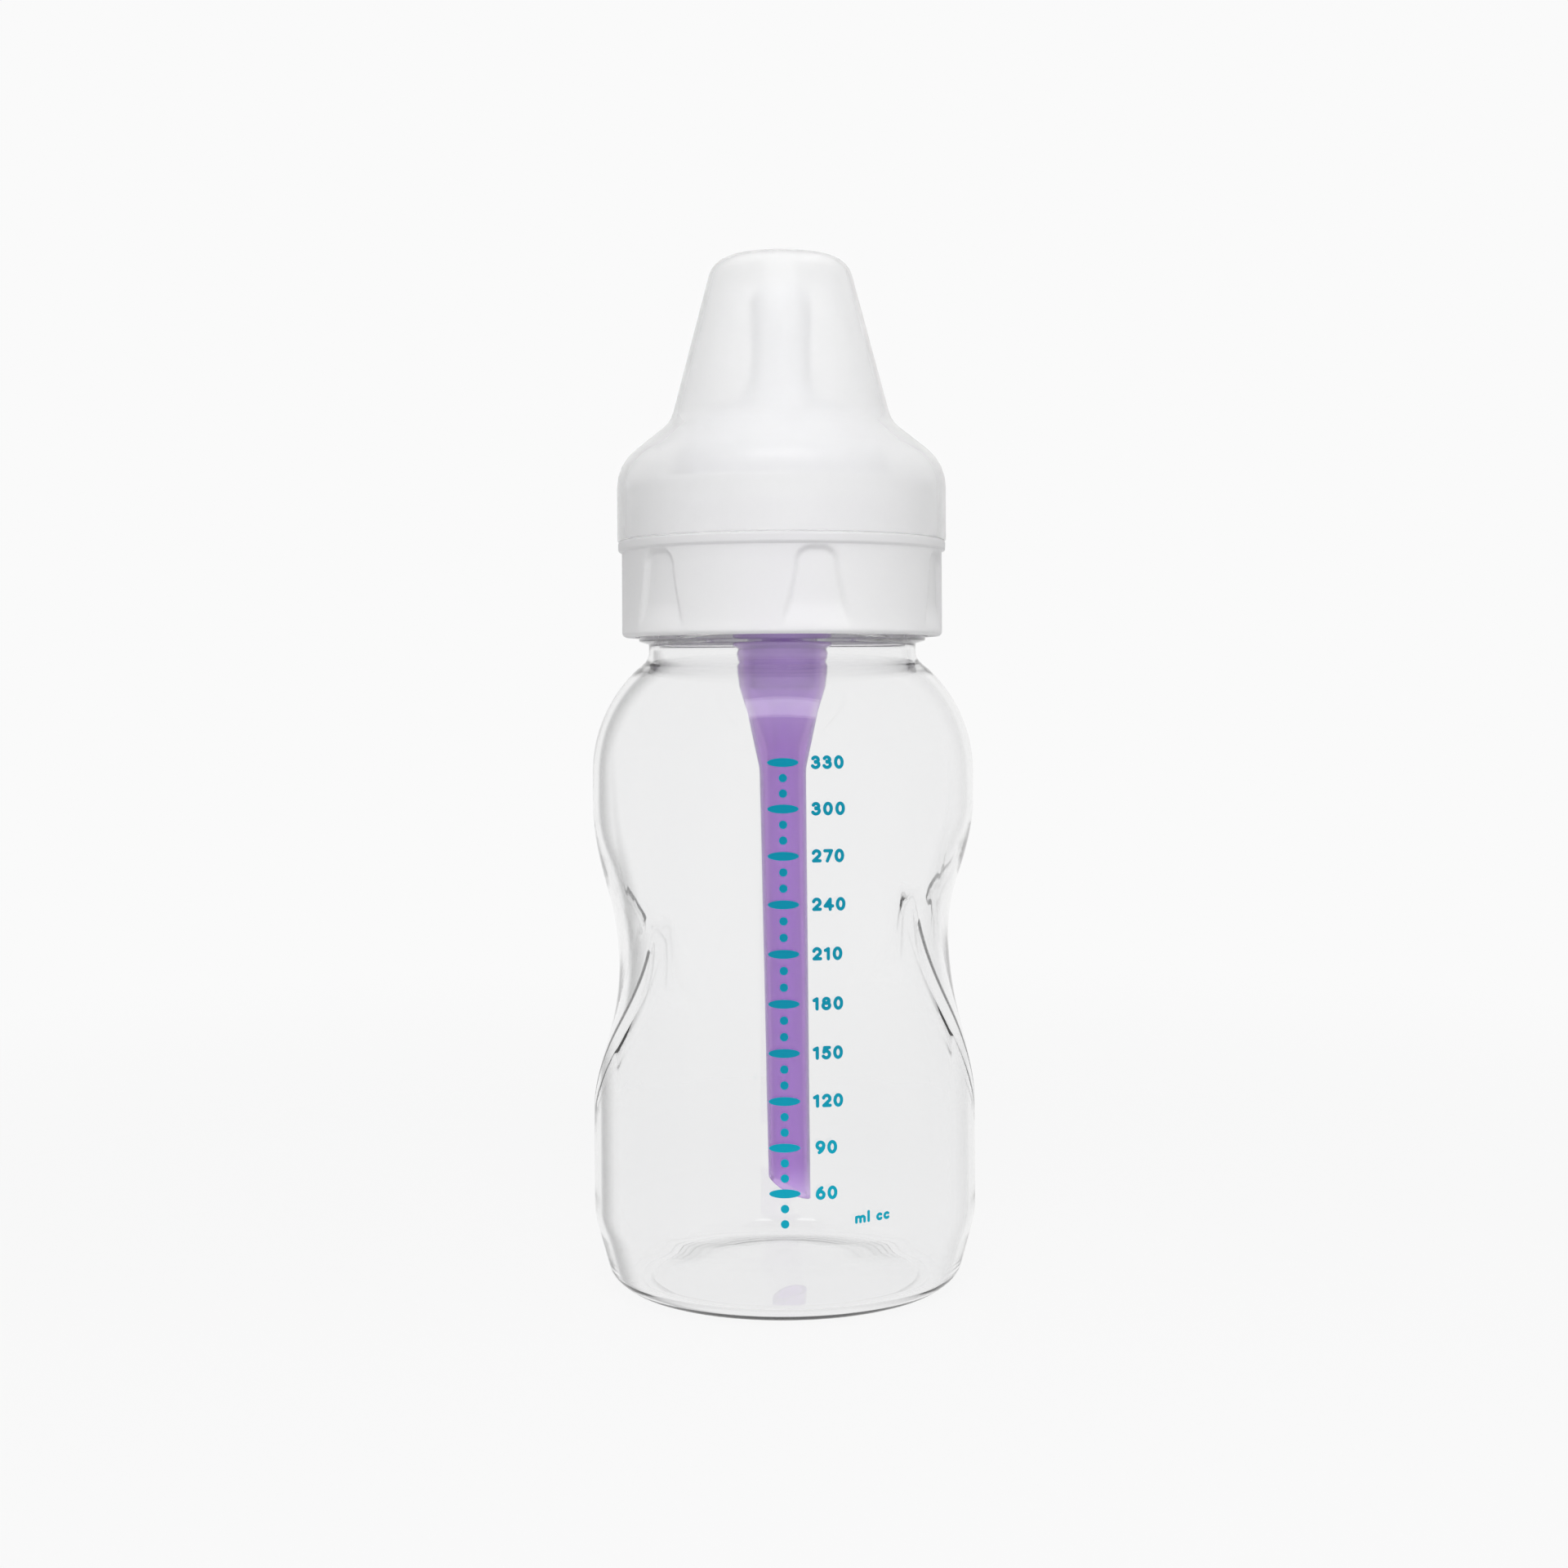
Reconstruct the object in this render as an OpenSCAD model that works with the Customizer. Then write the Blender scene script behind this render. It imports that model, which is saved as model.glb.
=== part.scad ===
// Wide-neck baby bottle: a bottle with two hand grips, a screw collar that holds a silicone
// nipple, a two-piece air vent that hangs in the neck, and a travel cap.
// The bottle stands on z = 0 with its axis on Z. Its printed scale faces -Y. Millimetres.

/* [Bottle] */
// Radius of the round body
body_r = 36.3; // [35.5:0.1:38]
// Height of the straight side, up to where the shoulder starts
body_h = 97; // [94:0.5:110]
// Radius of the shoulder's curve
shoulder_r = 26.5; // [25.5:0.5:27.5]
// Wall of the body and its floor
wall = 1.6; // [1.3:0.1:2]
// Outer radius of the flat ring that the bottle stands on
foot_r = 27.5; // [25:0.5:29]
// Width of that ring
foot_w = 2.6; // [2:0.2:4]
// How far the floor is pushed up inside the ring
push_up = 3; // [2:0.5:5]
// Width of the slope inside the ring
push_slope = 14; // [10:0.5:18]
// Radius of the edge where the foot turns up into the tapered side
edge_r = 33.3; // [32.6:0.1:34]
// Height of that edge
edge_h = 2.6; // [2.2:0.1:3]
// Rounding of that edge
edge_round = 4; // [2.5:0.1:4.2]
// Height at which the taper reaches the full radius
taper_h = 13.4; // [12:0.2:16]
// Rounding between the taper and the straight side
taper_round = 12; // [6:1:16]

/* [Hand grips] */
// How far each side is drawn in at its waist
grip_depth = 4.9; // [3:0.1:6]
// Distance from the bottle's axis to the centre that each grip is curved round
grip_offset = 21; // [18:0.5:24]
// Height of the left waist
left_waist_h = 57.6; // [52:0.2:66]
// Height of the right waist
right_waist_h = 63.9; // [52:0.2:68]
// Height at which both grips start
grip_low = 25.5; // [20:0.5:28]
// Height at which both grips end
grip_high = 94.5; // [90:0.5:96]

/* [Neck] */
// Radius of the neck
neck_r = 25.5; // [25:0.1:26]
// Height of the neck above the shoulder
neck_h = 27; // [25.5:0.5:30]
// Wall of the neck
neck_wall = 1.8; // [1.4:0.1:2.2]
// How far the neck's bore goes on down inside the shoulder
bore_drop = 2; // [1.5:0.5:3]
// Rounding between the shoulder and the neck
neck_round = 3; // [1.5:0.5:4]
// How far the bead below the collar stands out from the neck
bead_out = 1.9; // [1:0.1:1.9]
// Height of that bead
bead_h = 2.6; // [2:0.2:3.4]
// Gap between the shoulder and the bead
bead_lift = 3.4; // [2.8:0.2:4]

/* [Screw thread] */
// Rise of the thread in one turn
pitch = 4; // [3.6:0.2:4.4]
// Turns of thread on the neck, and on the collar
turns = 1.25; // [1:0.25:1.5]
// How far the thread stands out
thread_out = 2; // [1.6:0.1:2]
// Width of the thread at its root
thread_root = 2; // [1.6:0.1:2]
// Width of the thread at its crest
thread_crest = 1; // [0.8:0.1:1.2]
// Gap between a crest and the wall that it faces
thread_gap = 0.45; // [0.4:0.05:0.6]
// Depth of the neck's first thread below the rim
thread_drop = 13; // [12:0.5:15]

/* [Collar] */
// Wall of the collar's skirt
skirt_wall = 2.6; // [2.3:0.1:3]
// Gap between the shoulder and the skirt's lower edge
skirt_gap = 4.2; // [3.8:0.1:5]
// How far the cap's ledge stands out from the skirt
ledge_out = 0.7; // [0.4:0.1:1.2]
// Thickness of that ledge
ledge_h = 2; // [1.4:0.2:2.6]
// Height of the drum above the ledge
drum_h = 10.8; // [9:0.2:12]
// Wall of the drum
drum_wall = 1.7; // [1.4:0.1:2]
// Thickness of the top plate that clamps the nipple
plate_t = 2.6; // [2:0.1:3.2]
// Gap between the collar's inner rib and the ring of the vent
seat_gap = 0.2; // [0.1:0.05:0.4]
// Number of bell-shaped flutes round the skirt
flutes = 6; // [4:1:8]
// Depth of each flute
flute_depth = 0.9; // [0.5:0.1:1.1]
// Half of the width of a flute at its top
flute_top = 3.9; // [3:0.1:4.4]
// Half of the width of a flute at its foot
flute_foot = 6.8; // [6:0.1:8]
// Gap between a flute's arch and the ledge above it
flute_lip = 0.4; // [0.2:0.1:1]
// Height of a flute's foot above the skirt's lower edge
flute_rise = 1.2; // [0.8:0.1:2]
// Turn of the first flute from the front
flute_turn = 12; // [0:1:59]

/* [Nipple] */
// Thickness of the flange that the collar clamps
flange_t = 2; // [1.6:0.1:2.4]
// Radius of the collar's hole, which the nipple passes through
hole_r = 21.8; // [21:0.1:22.6]
// Gap between the nipple and that hole
nipple_gap = 0.3; // [0.2:0.05:0.5]
// How far the bead above the collar stands out over the hole's edge
lock_out = 1.1; // [0.6:0.1:1.5]
// Height of that bead
lock_h = 1.6; // [1.2:0.1:2]
// Height of the rounded base above the bead
dome_h = 15; // [13:0.5:17]
// Height of the tip above the base
tip_h = 22; // [19:0.5:23]
// Radius of the tip
tip_r = 5.85; // [5:0.05:6.5]
// Wall of the nipple
nipple_wall = 1.8; // [1.4:0.1:2.2]
// Radius of the hole in the tip
flow_r = 0.4; // [0.3:0.05:0.6]

/* [Travel cap] */
// Wall of the cap
cap_wall = 1.3; // [1:0.1:1.5]
// Gap between the cap and the collar's drum
cap_gap = 0.45; // [0.35:0.05:0.6]
// Height of the straight side below the cap's shoulder
cap_side_h = 14.6; // [13.5:0.2:17]
// Height of the cap's sloping shoulder
cap_slope_h = 8.2; // [7.4:0.2:9]
// Radius at which the shoulder meets the cone
cone_foot_r = 21.15; // [20.5:0.1:22]
// Radius at which the cone meets the top
cone_top_r = 12.9; // [12:0.1:14]
// Height of the cap
cap_h = 55; // [53.5:0.5:60]

/* [Vent insert] */
// Thickness of the ring that rests on the bottle's rim
ring_t = 1.6; // [1.4:0.1:2]
// Width of that ring
ring_w = 3; // [2.6:0.1:3.4]
// Gap between the insert's locating rib and the neck's bore
rib_gap = 0.3; // [0.2:0.05:0.5]
// Depth of that rib below the ring
rib_h = 3; // [2:0.2:4]
// Thickness of that rib
rib_t = 1.2; // [0.9:0.1:1.4]
// Number of arms between the ring and the hub
arms = 4; // [3:1:5]
// Width of each arm
arm_w = 3; // [2.6:0.1:4]
// Depth of each arm
arm_h = 3.2; // [3:0.1:4]
// Radius of the air passage in the front arm
air_r = 0.5; // [0.4:0.05:0.6]
// Outer radius of the stem that hangs in the reservoir's cup
stem_r = 6.4; // [6:0.1:6.6]
// Wall of the stem
stem_wall = 1.2; // [1:0.1:1.4]
// Depth of the stem's straight part below the ring
stem_h = 33.6; // [32.5:0.2:34]
// Outer radius of the inner tube
inner_r = 2.1; // [1.8:0.05:2.2]
// Bore radius of the inner tube
inner_bore_r = 1.3; // [1:0.05:1.4]
// Length of the inner tube below the stem
inner_h = 73; // [60:1:75]
// Slant of the inner tube's end, in degrees
inner_slant = 60; // [0:1:65]
// Height of the boss on top of the hub
boss_h = 1.2; // [0.8:0.1:1.6]
// Thickness of the boss's top, which closes the stem
roof = 1; // [0.8:0.1:1.4]

/* [Vent reservoir] */
// Outer radius of the cup
cup_r = 9; // [8.8:0.1:9.2]
// Wall of the cup
cup_wall = 1; // [0.8:0.1:1.2]
// Height of the cup's straight part
cup_h = 26; // [24:0.5:27]
// Outer radius of the tube at its top
tube_r = 4.46; // [4.3:0.02:4.6]
// Outer radius of the tube at its end
tube_end_r = 4; // [3.8:0.05:4.2]
// Bore radius of the tube
tube_bore_r = 3; // [2.8:0.05:3.2]
// Depth of the shallow ring that marks the cup's foot
notch = 0.55; // [0.3:0.05:0.7]
// Height of the funnel between the tube and the cup
cup_funnel_h = 22; // [20:0.5:24]
// Gap between the tube's lowest point and the bottle's floor
tube_gap = 10.7; // [9.5:0.1:16]
// Slant of the tube's end, in degrees
tube_slant = 28; // [0:1:40]
// Gap between the cup and the insert's socket
socket_gap = 0.08; // [0.05:0.01:0.1]
// Wall of the insert's socket
socket_wall = 1.4; // [1.2:0.1:1.8]
// Depth of the socket below the ring
socket_h = 8; // [6:0.5:10]

/* [Scale] */
// Thickness of the ink
ink_t = 0.06; // [0.04:0.01:0.1]
// Height of the lowest long mark
first_mark_z = 24.4; // [22:0.2:28]
// Mean distance between two long marks
mark_step = 8.38; // [8.2:0.02:8.4]
// How far the waist of the body bows the marks off even steps
mark_bow = 0.5; // [0:0.05:0.8]
// Number of long marks
marks = 10; // [4:1:10]
// Half of a long mark's length
mark_half_l = 2.5; // [1.5:0.1:4]
// Half of a long mark's height
mark_half_h = 0.72; // [0.4:0.02:1]
// Radius of the dots between and below the long marks
dot_r = 0.62; // [0.4:0.02:0.9]

/* [Hidden] */
$fn = 96;

arc_step = 6;        // degrees between two points on a rounded corner
thread_steps = 24;   // short straight lengths in one turn of thread

// Levels, from the floor up
floor_z = push_up + wall;
shoulder_x = body_r - shoulder_r;
neck_angle = acos((neck_r - shoulder_x) / shoulder_r);
neck_z = body_h + shoulder_r * sin(neck_angle);
rim_z = neck_z + neck_h;
bore_r = neck_r - neck_wall;
ring_top = rim_z + ring_t;
flange_top = ring_top + flange_t;
plate_top = flange_top + plate_t;
ledge_z = plate_top - drum_h;
skirt_z = neck_z + skirt_gap;
cap_top = ledge_z + cap_h;

// Radii of the collar and the cap, from the neck out
collar_bore_r = neck_r + thread_out + thread_gap;
skirt_r = collar_bore_r + skirt_wall;
drum_r = collar_bore_r + drum_wall;
ledge_r = skirt_r + ledge_out;
cap_bore_r = drum_r + cap_gap;
cap_r = cap_bore_r + cap_wall;
seat_r = neck_r + thread_gap;   // rib that centres the nipple's flange
flange_r = seat_r - nipple_gap;

// Levels and radii of the vent
socket_z = rim_z - socket_h;
socket_r = cup_r + socket_gap;
socket_out_r = socket_r + socket_wall;
rib_r = bore_r - rib_gap;
stem_z = ring_top - stem_h;
stem_funnel_h = (stem_r - inner_r) * 0.9;
inner_top_z = stem_z - stem_funnel_h;
inner_end_z = inner_top_z - inner_h;
cup_z = rim_z - cup_h;
tube_top_z = cup_z - cup_funnel_h;
tube_end_z = floor_z + tube_gap;

// ---- Outlines -----------------------------------------------------------------------------

function unit(v) = v / norm(v);

// Points that round the corner p between its neighbours a and b with radius r
function corner_arc(a, p, b, r) =
    let (u = unit(a - p), v = unit(b - p), half = acos(u * v) / 2,
         c = p + unit(u + v) * r / sin(half), reach = r / tan(half),
         s = p + u * reach - c, e = p + v * reach - c,
         from = atan2(s.y, s.x), turn = atan2(s.x * e.y - s.y * e.x, s * e),
         n = max(2, ceil(abs(turn) / arc_step)))
    [for (i = [0:n]) c + r * [cos(from + turn * i / n), sin(from + turn * i / n)]];

// A closed outline from corners [x, y, radius]
function rounded(c) =
    let (n = len(c), p = [for (q = c) [q.x, q.y]])
    [for (i = [0:n - 1])
        each (c[i].z == 0 ? [p[i]] : corner_arc(p[(i + n - 1) % n], p[i], p[(i + 1) % n], c[i].z))];

// Points of an arc about [x, y]
function arc(x, y, r, from, to) =
    let (n = max(2, ceil(abs(to - from) / arc_step)))
    [for (i = [0:n]) [x + r * cos(from + (to - from) * i / n), y + r * sin(from + (to - from) * i / n), 0]];

// ---- Bottle -------------------------------------------------------------------------------

// Angle where the shoulder's arc, drawn in by t, stops short of the height z
function shoulder_end(t, z) = asin((z - body_h) / (shoulder_r - t)) - 5;

// Outline of the round body and neck, drawn in by t from the outer surface
function body_outline(t) =
    let (top = t > 0 ? rim_z + 1 : rim_z, r = t > 0 ? bore_r : neck_r,
         foot = t > 0 ? neck_z - bore_drop : neck_z,
         in = foot_r - foot_w)
    let (bend = edge_round - t * 0.4, toe = (edge_r - foot_r) * 0.58)
    concat(
        [[0, push_up + t, 0], [in - push_slope + t * 0.5, push_up + t, 12], [in + t * 0.5, t, 3],
         [foot_r + t * 0.2, t, 0], [foot_r + toe - t * 0.4, edge_h * 0.2 + t, bend],
         [edge_r - t * 0.9, edge_h + t * 0.5, bend], [body_r - t, taper_h, taper_round]],
        arc(shoulder_x, body_h, shoulder_r - t, 0, shoulder_end(t, foot)),
        [[r, foot, t > 0 ? neck_round / 2 : neck_round], [r, top, 0], [0, top, 0]]);

// Half of a grip's S-curve: from the waist to its end, in equal and opposite arcs
function grip_half(waist_r, waist_z, end_r, end_z) =
    let (l = abs(end_z - waist_z), d = end_r - waist_r, way = sign(end_z - waist_z),
         a = 2 * atan(d / l), r = l / 2 / sin(a), n = 5)
    concat(
        [for (i = [0:n]) let (t = a * i / n) [waist_r + r * (1 - cos(t)), waist_z + way * r * sin(t)]],
        [for (i = [n - 1:-1:0]) let (t = a * i / n) [end_r - r * (1 - cos(t)), end_z - way * r * sin(t)]]);

// A waisted solid of revolution whose near side is the hand grip
module grip_form(waist_z, t) {
    slack = 0.4;     // how far the grip's ends lie outside the round body
    waist_r = grip_offset + body_r - grip_depth - t;
    end_r = grip_offset + body_r + slack - t;
    low = grip_half(waist_r, waist_z, end_r, grip_low);
    high = grip_half(waist_r, waist_z, end_r, grip_high);
    rotate_extrude() polygon(concat(
        [[0, -5], [end_r, -5]],
        [for (i = [len(low) - 1:-1:1]) low[i]],
        high,
        [[end_r, rim_z + 5], [0, rim_z + 5]]));
}

module body_form(t) {
    intersection() {
        rotate_extrude() polygon(rounded(body_outline(t)));
        translate([grip_offset, 0, 0]) grip_form(left_waist_h, t);
        translate([-grip_offset, 0, 0]) grip_form(right_waist_h, t);
    }
}

// One start of thread in short straight lengths. It stands out from r by out, inwards if out < 0
module thread(r, out, z) {
    count = floor(turns * thread_steps);
    step = 360 / thread_steps;
    sink = 0.5;      // how far the thread's root lies inside the wall
    flank = (thread_root - thread_crest) / 2;
    for (i = [0:count - 1]) {
        lead = min(1, (min(i, count - 1 - i) + 1) / 3);
        root = r - sink * sign(out);
        crest = r + out * lead;
        root_half = thread_crest / 2 + flank * (lead + sink / abs(out));
        rotate([0, 0, (i + 0.5) * step]) translate([0, 0, z + pitch * i / thread_steps])
            rotate_extrude(angle = step * 1.05)
                polygon([[root, -root_half], [crest, -thread_crest / 2],
                         [crest, thread_crest / 2], [root, root_half]]);
    }
}

module bottle() {
    bead_z = neck_z + bead_lift;
    bead_slope = bead_out * 0.3;
    color([0.93, 0.94, 0.96, 0.45]) difference() {
        union() {
            body_form(0);
            rotate_extrude() polygon([
                [neck_r - neck_wall / 2, bead_z - bead_slope], [neck_r, bead_z - bead_slope],
                [neck_r + bead_out, bead_z], [neck_r + bead_out, bead_z + bead_h],
                [neck_r - neck_wall / 2, bead_z + bead_h]]);
            thread(neck_r, thread_out, rim_z - thread_drop);
        }
        body_form(wall);
    }
}

// ---- Printed scale ------------------------------------------------------------------------

// Height of long mark i. The body is narrower at its waist, so the steps there are longer
function mark_z(i) =
    first_mark_z + mark_step * i - mark_bow * (sin(i * 40) + 0.4 * sin(i * 20));

module ink_shapes() {
    for (i = [0:marks - 1]) translate([0, mark_z(i)])
        polygon([for (a = [0:15:345]) [mark_half_l * cos(a), mark_half_h * sin(a)]]);
    for (i = [-1:marks - 2], k = [1, 2])
        translate([0, mark_z(i) + (mark_z(i + 1) - mark_z(i)) * k / 3]) circle(dot_r);
}

module volume_marks() {
    color([0, 0.6, 0.72]) intersection() {
        difference() {
            rotate_extrude() polygon(ink_outline(ink_t));
            rotate_extrude() polygon(ink_outline(0));
        }
        translate([0, -body_r / 2, 0]) rotate([90, 0, 0]) linear_extrude(body_r) ink_shapes();
    }
}

// The side and the start of the shoulder, which carry the ink, moved out by t
function ink_outline(t) =
    let (end = shoulder_end(0, neck_z))
    [for (p = concat([[0, taper_h, 0], [body_r + t, taper_h, 0]],
                     arc(shoulder_x, body_h, shoulder_r + t, 0, end),
                     [[0, body_h + (shoulder_r + t) * sin(end), 0]])) [p.x, p.y]];

// ---- Collar -------------------------------------------------------------------------------

// The outline is a bell: a rounded arch at the top, and sides that flare over the flare's height
module flute() {
    top = ledge_z - ledge_h - flute_lip;
    foot = skirt_z + flute_rise;
    flare = 4;
    neck = flute_foot - 1.4;
    arch = flute_top - 0.3;
    outline = [[-flute_foot, foot, 0.8], [flute_foot, foot, 0.8],
               [neck, foot + flare, 6], [flute_top, top - flare, 8],
               [arch, top, 2.6], [-arch, top, 2.6],
               [-flute_top, top - flare, 8], [-neck, foot + flare, 6]];
    intersection() {
        rotate([90, 0, 0]) linear_extrude(skirt_r + 5) polygon(rounded(outline));
        difference() {
            cylinder(r = skirt_r + 5, h = top + 5);
            translate([0, 0, -1]) cylinder(r = skirt_r - flute_depth, h = top + 7);
        }
    }
}

module collar() {
    seat_z = ring_top + seat_gap;
    color("white") difference() {
        union() {
            rotate_extrude() polygon(rounded([
                [collar_bore_r, skirt_z, 0], [skirt_r, skirt_z, 1], [skirt_r, ledge_z - ledge_h, 0],
                [ledge_r, ledge_z - ledge_h, 0.4], [ledge_r, ledge_z, 0.4], [drum_r, ledge_z, 0],
                [drum_r, plate_top, 0.8], [hole_r, plate_top, 0.6], [hole_r, flange_top, 0],
                [seat_r, flange_top, 0], [seat_r, seat_z, 0], [collar_bore_r, seat_z, 0]]));
            thread(collar_bore_r, -thread_out, rim_z - thread_drop - pitch / 2);
        }
        for (i = [0:flutes - 1]) rotate([0, 0, flute_turn + i * 360 / flutes]) flute();
    }
}

// ---- Nipple -------------------------------------------------------------------------------

// Outer surface of the nipple above the flange, drawn in by t
function nipple_outline(t) =
    let (r = hole_r - nipple_gap, z = plate_top + lock_h, base_z = z + dome_h,
         top = base_z + tip_h, w = t * 0.7)
    [[r - 0.2 - t, z, 0], [r - 2.4 - t * 0.8, z + dome_h * 0.58 - t * 0.5, 9],
     [tip_r + 5.4 - w, base_z - 2.2 - w, 5], [tip_r + 0.6 - t, base_z + 1 - w, 5],
     [tip_r - 0.4 - w, base_z + tip_h * 0.35, 9], [tip_r - w, base_z + tip_h * 0.6, 9],
     [tip_r - w, top - w, tip_r * 0.75 - w], [0, top - w, 0]];

module nipple() {
    r = hole_r - nipple_gap;
    color([0.93, 0.95, 0.96, 0.6]) difference() {
        rotate_extrude() polygon(rounded(concat(
            [[0, ring_top, 0], [flange_r, ring_top, 0], [flange_r, flange_top, 0],
             [r, flange_top, 0], [r, plate_top, 0], [r + lock_out, plate_top, 0],
             [r + lock_out, plate_top + lock_h, 0.7]],
            nipple_outline(0))));
        rotate_extrude() polygon(rounded(concat(
            [[0, ring_top - 1, 0], [r - nipple_wall, ring_top - 1, 0]],
            nipple_outline(nipple_wall))));
        translate([0, 0, plate_top]) cylinder(r = flow_r, h = lock_h + dome_h + tip_h + 1);
    }
}

// ---- Travel cap ---------------------------------------------------------------------------

// Outline of the dome, drawn in by t
function cap_outline(t) =
    let (base = t > 0 ? ledge_z - 1 : ledge_z, side_z = ledge_z + cap_side_h,
         cone_z = side_z + cap_slope_h, down = t * 0.55)
    [[0, base, 0], [cap_r - t, base, 0], [cap_r - t, side_z - down, 9],
     [cone_foot_r - t, cone_z - down, 6], [cone_top_r - t, cap_top - 1 - t, 4.5],
     [0, cap_top - t, 0]];

module travel_cap() {
    color([0.9, 0.93, 0.97, 0.4]) difference() {
        rotate_extrude() polygon(rounded(cap_outline(0)));
        rotate_extrude() polygon(rounded(cap_outline(cap_wall)));
    }
}

// ---- Vent ---------------------------------------------------------------------------------

// Everything below a plane that passes the point [x, z] and climbs away from it by slant degrees.
// It climbs towards -X where side is 1, and towards +X where side is -1
module below_slant(x, z, slant, side) {
    size = 8 * tube_r;
    translate([side * x, 0, z]) rotate([0, side * slant, 0])
        translate([-size / 2, -size / 2, -size]) cube(size);
}

module vent_insert() {
    arm_l = rib_r - socket_r;
    cavity_r = stem_r - stem_wall;
    color([0.72, 0.58, 0.8, 0.8]) difference() {
        union() {
            // Ring on the rim, and the rib that centres it in the neck
            rotate_extrude() polygon([
                [neck_r - ring_w, rim_z], [rib_r - rib_t, rim_z - rib_h], [rib_r, rim_z - rib_h],
                [rib_r, rim_z], [neck_r, rim_z], [neck_r, ring_top], [neck_r - ring_w, ring_top]]);
            // Hub with its boss, its socket for the reservoir's cup, and the stem inside it
            rotate_extrude() polygon([
                [0, inner_end_z], [inner_r, inner_end_z], [inner_r, inner_top_z],
                [stem_r, stem_z], [stem_r, rim_z], [socket_r, rim_z], [socket_r, socket_z],
                [socket_out_r, socket_z], [socket_out_r, ring_top],
                [stem_r + 0.6, ring_top + boss_h], [0, ring_top + boss_h]]);
            for (i = [0:arms - 1]) rotate([0, 0, i * 360 / arms - 90])
                translate([socket_r + socket_wall / 2, -arm_w / 2, ring_top - arm_h])
                    cube([arm_l - (rib_t + socket_wall) / 2, arm_w, arm_h]);
        }
        // Inside of the stem and its tube
        rotate_extrude() polygon([
            [0, inner_end_z - 1], [inner_bore_r, inner_end_z - 1], [inner_bore_r, inner_top_z],
            [cavity_r, stem_z], [cavity_r, ring_top + boss_h - roof], [0, ring_top + boss_h - roof]]);
        // Air passage from the collar's thread through the front arm into the stem
        translate([0, -neck_r - 1, rim_z + ring_t / 2]) rotate([-90, 0, 0])
            cylinder(r = air_r, h = neck_r + 1 - cavity_r / 2);
        below_slant(inner_r, inner_end_z, inner_slant, -1);
    }
}

module vent_reservoir() {
    span = cup_r - tube_r;      // how far the funnel widens
    notch_r = cup_r - notch;
    color([0.66, 0.53, 0.76, 0.85]) difference() {
        rotate_extrude() polygon(rounded([
            [0, tube_end_z, 0], [tube_end_r, tube_end_z, 0], [tube_r, tube_top_z, 0],
            [tube_r + span * 0.25, tube_top_z + cup_funnel_h * 0.245, 5],
            [tube_r + span * 0.51, tube_top_z + cup_funnel_h * 0.5, 6],
            [tube_r + span * 0.85, tube_top_z + cup_funnel_h * 0.73, 3],
            [notch_r, cup_z - 1, 0.6], [notch_r, cup_z + 1, 0.3], [cup_r, cup_z + 2, 0.4],
            [cup_r, rim_z, 0], [0, rim_z, 0]]));
        rotate_extrude() polygon(rounded([
            [0, tube_end_z - 1, 0], [tube_bore_r, tube_end_z - 1, 0],
            [tube_bore_r, tube_top_z + cup_funnel_h * 0.18, 5],
            [notch_r - cup_wall, tube_top_z + cup_funnel_h * 0.75, 4],
            [notch_r - cup_wall, cup_z + 1.4, 0], [cup_r - cup_wall, cup_z + 2.4, 0],
            [cup_r - cup_wall, rim_z + 1, 0], [0, rim_z + 1, 0]]));
        below_slant(tube_end_r, tube_end_z, tube_slant, 1);
    }
}

bottle();
volume_marks();
collar();
nipple();
travel_cap();
vent_insert();
vent_reservoir();
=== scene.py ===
"""Looks of a wide-neck baby bottle: clear waisted bottle with a printed scale, white screw collar,
silicone nipple, frosted travel cap and a violet two-piece air vent. Sizes are in millimetres."""
import math

import bpy
import numpy as np
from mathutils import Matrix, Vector


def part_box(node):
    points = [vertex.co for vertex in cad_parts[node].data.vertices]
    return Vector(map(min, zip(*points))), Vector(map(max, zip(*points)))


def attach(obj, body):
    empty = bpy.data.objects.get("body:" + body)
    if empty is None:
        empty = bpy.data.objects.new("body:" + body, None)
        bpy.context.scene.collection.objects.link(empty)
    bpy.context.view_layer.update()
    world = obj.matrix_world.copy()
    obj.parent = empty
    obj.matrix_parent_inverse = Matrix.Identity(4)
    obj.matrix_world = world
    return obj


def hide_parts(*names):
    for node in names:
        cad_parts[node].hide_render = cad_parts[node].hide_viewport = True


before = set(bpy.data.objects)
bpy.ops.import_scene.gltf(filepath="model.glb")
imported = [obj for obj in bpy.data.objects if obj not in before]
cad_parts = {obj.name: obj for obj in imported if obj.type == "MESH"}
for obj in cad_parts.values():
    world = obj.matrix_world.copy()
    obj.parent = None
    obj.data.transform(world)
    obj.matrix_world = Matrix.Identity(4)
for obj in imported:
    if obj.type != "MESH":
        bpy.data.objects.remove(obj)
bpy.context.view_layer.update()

MM = 0.001
TURN = 2 * math.pi


def top_of(node):
    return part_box(node)[1].z / MM


def bottom_of(node):
    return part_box(node)[0].z / MM


def radius_of(node):
    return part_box(node)[1].x / MM


# ---- Sizes ----------------------------------------------------------------------------------

# Bottle
body_r = radius_of("bottle")
rim_z = top_of("bottle")
body_h = 97
shoulder_r = 26.5
wall = 1.6
shell_columns = 352
neck_r = 25.5
neck_wall = 1.8
foot_r = 27.5
foot_w = 2.6
push_up = 3
push_slope = 14
edge_r = 33.3
edge_h = 2.6
edge_round = 4
taper_h = 13.4
taper_round = 12
shoulder_x = body_r - shoulder_r
neck_z = body_h + shoulder_r * math.sin(math.acos((neck_r - shoulder_x) / shoulder_r))
bore_r = neck_r - neck_wall
neck_round = 3
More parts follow.
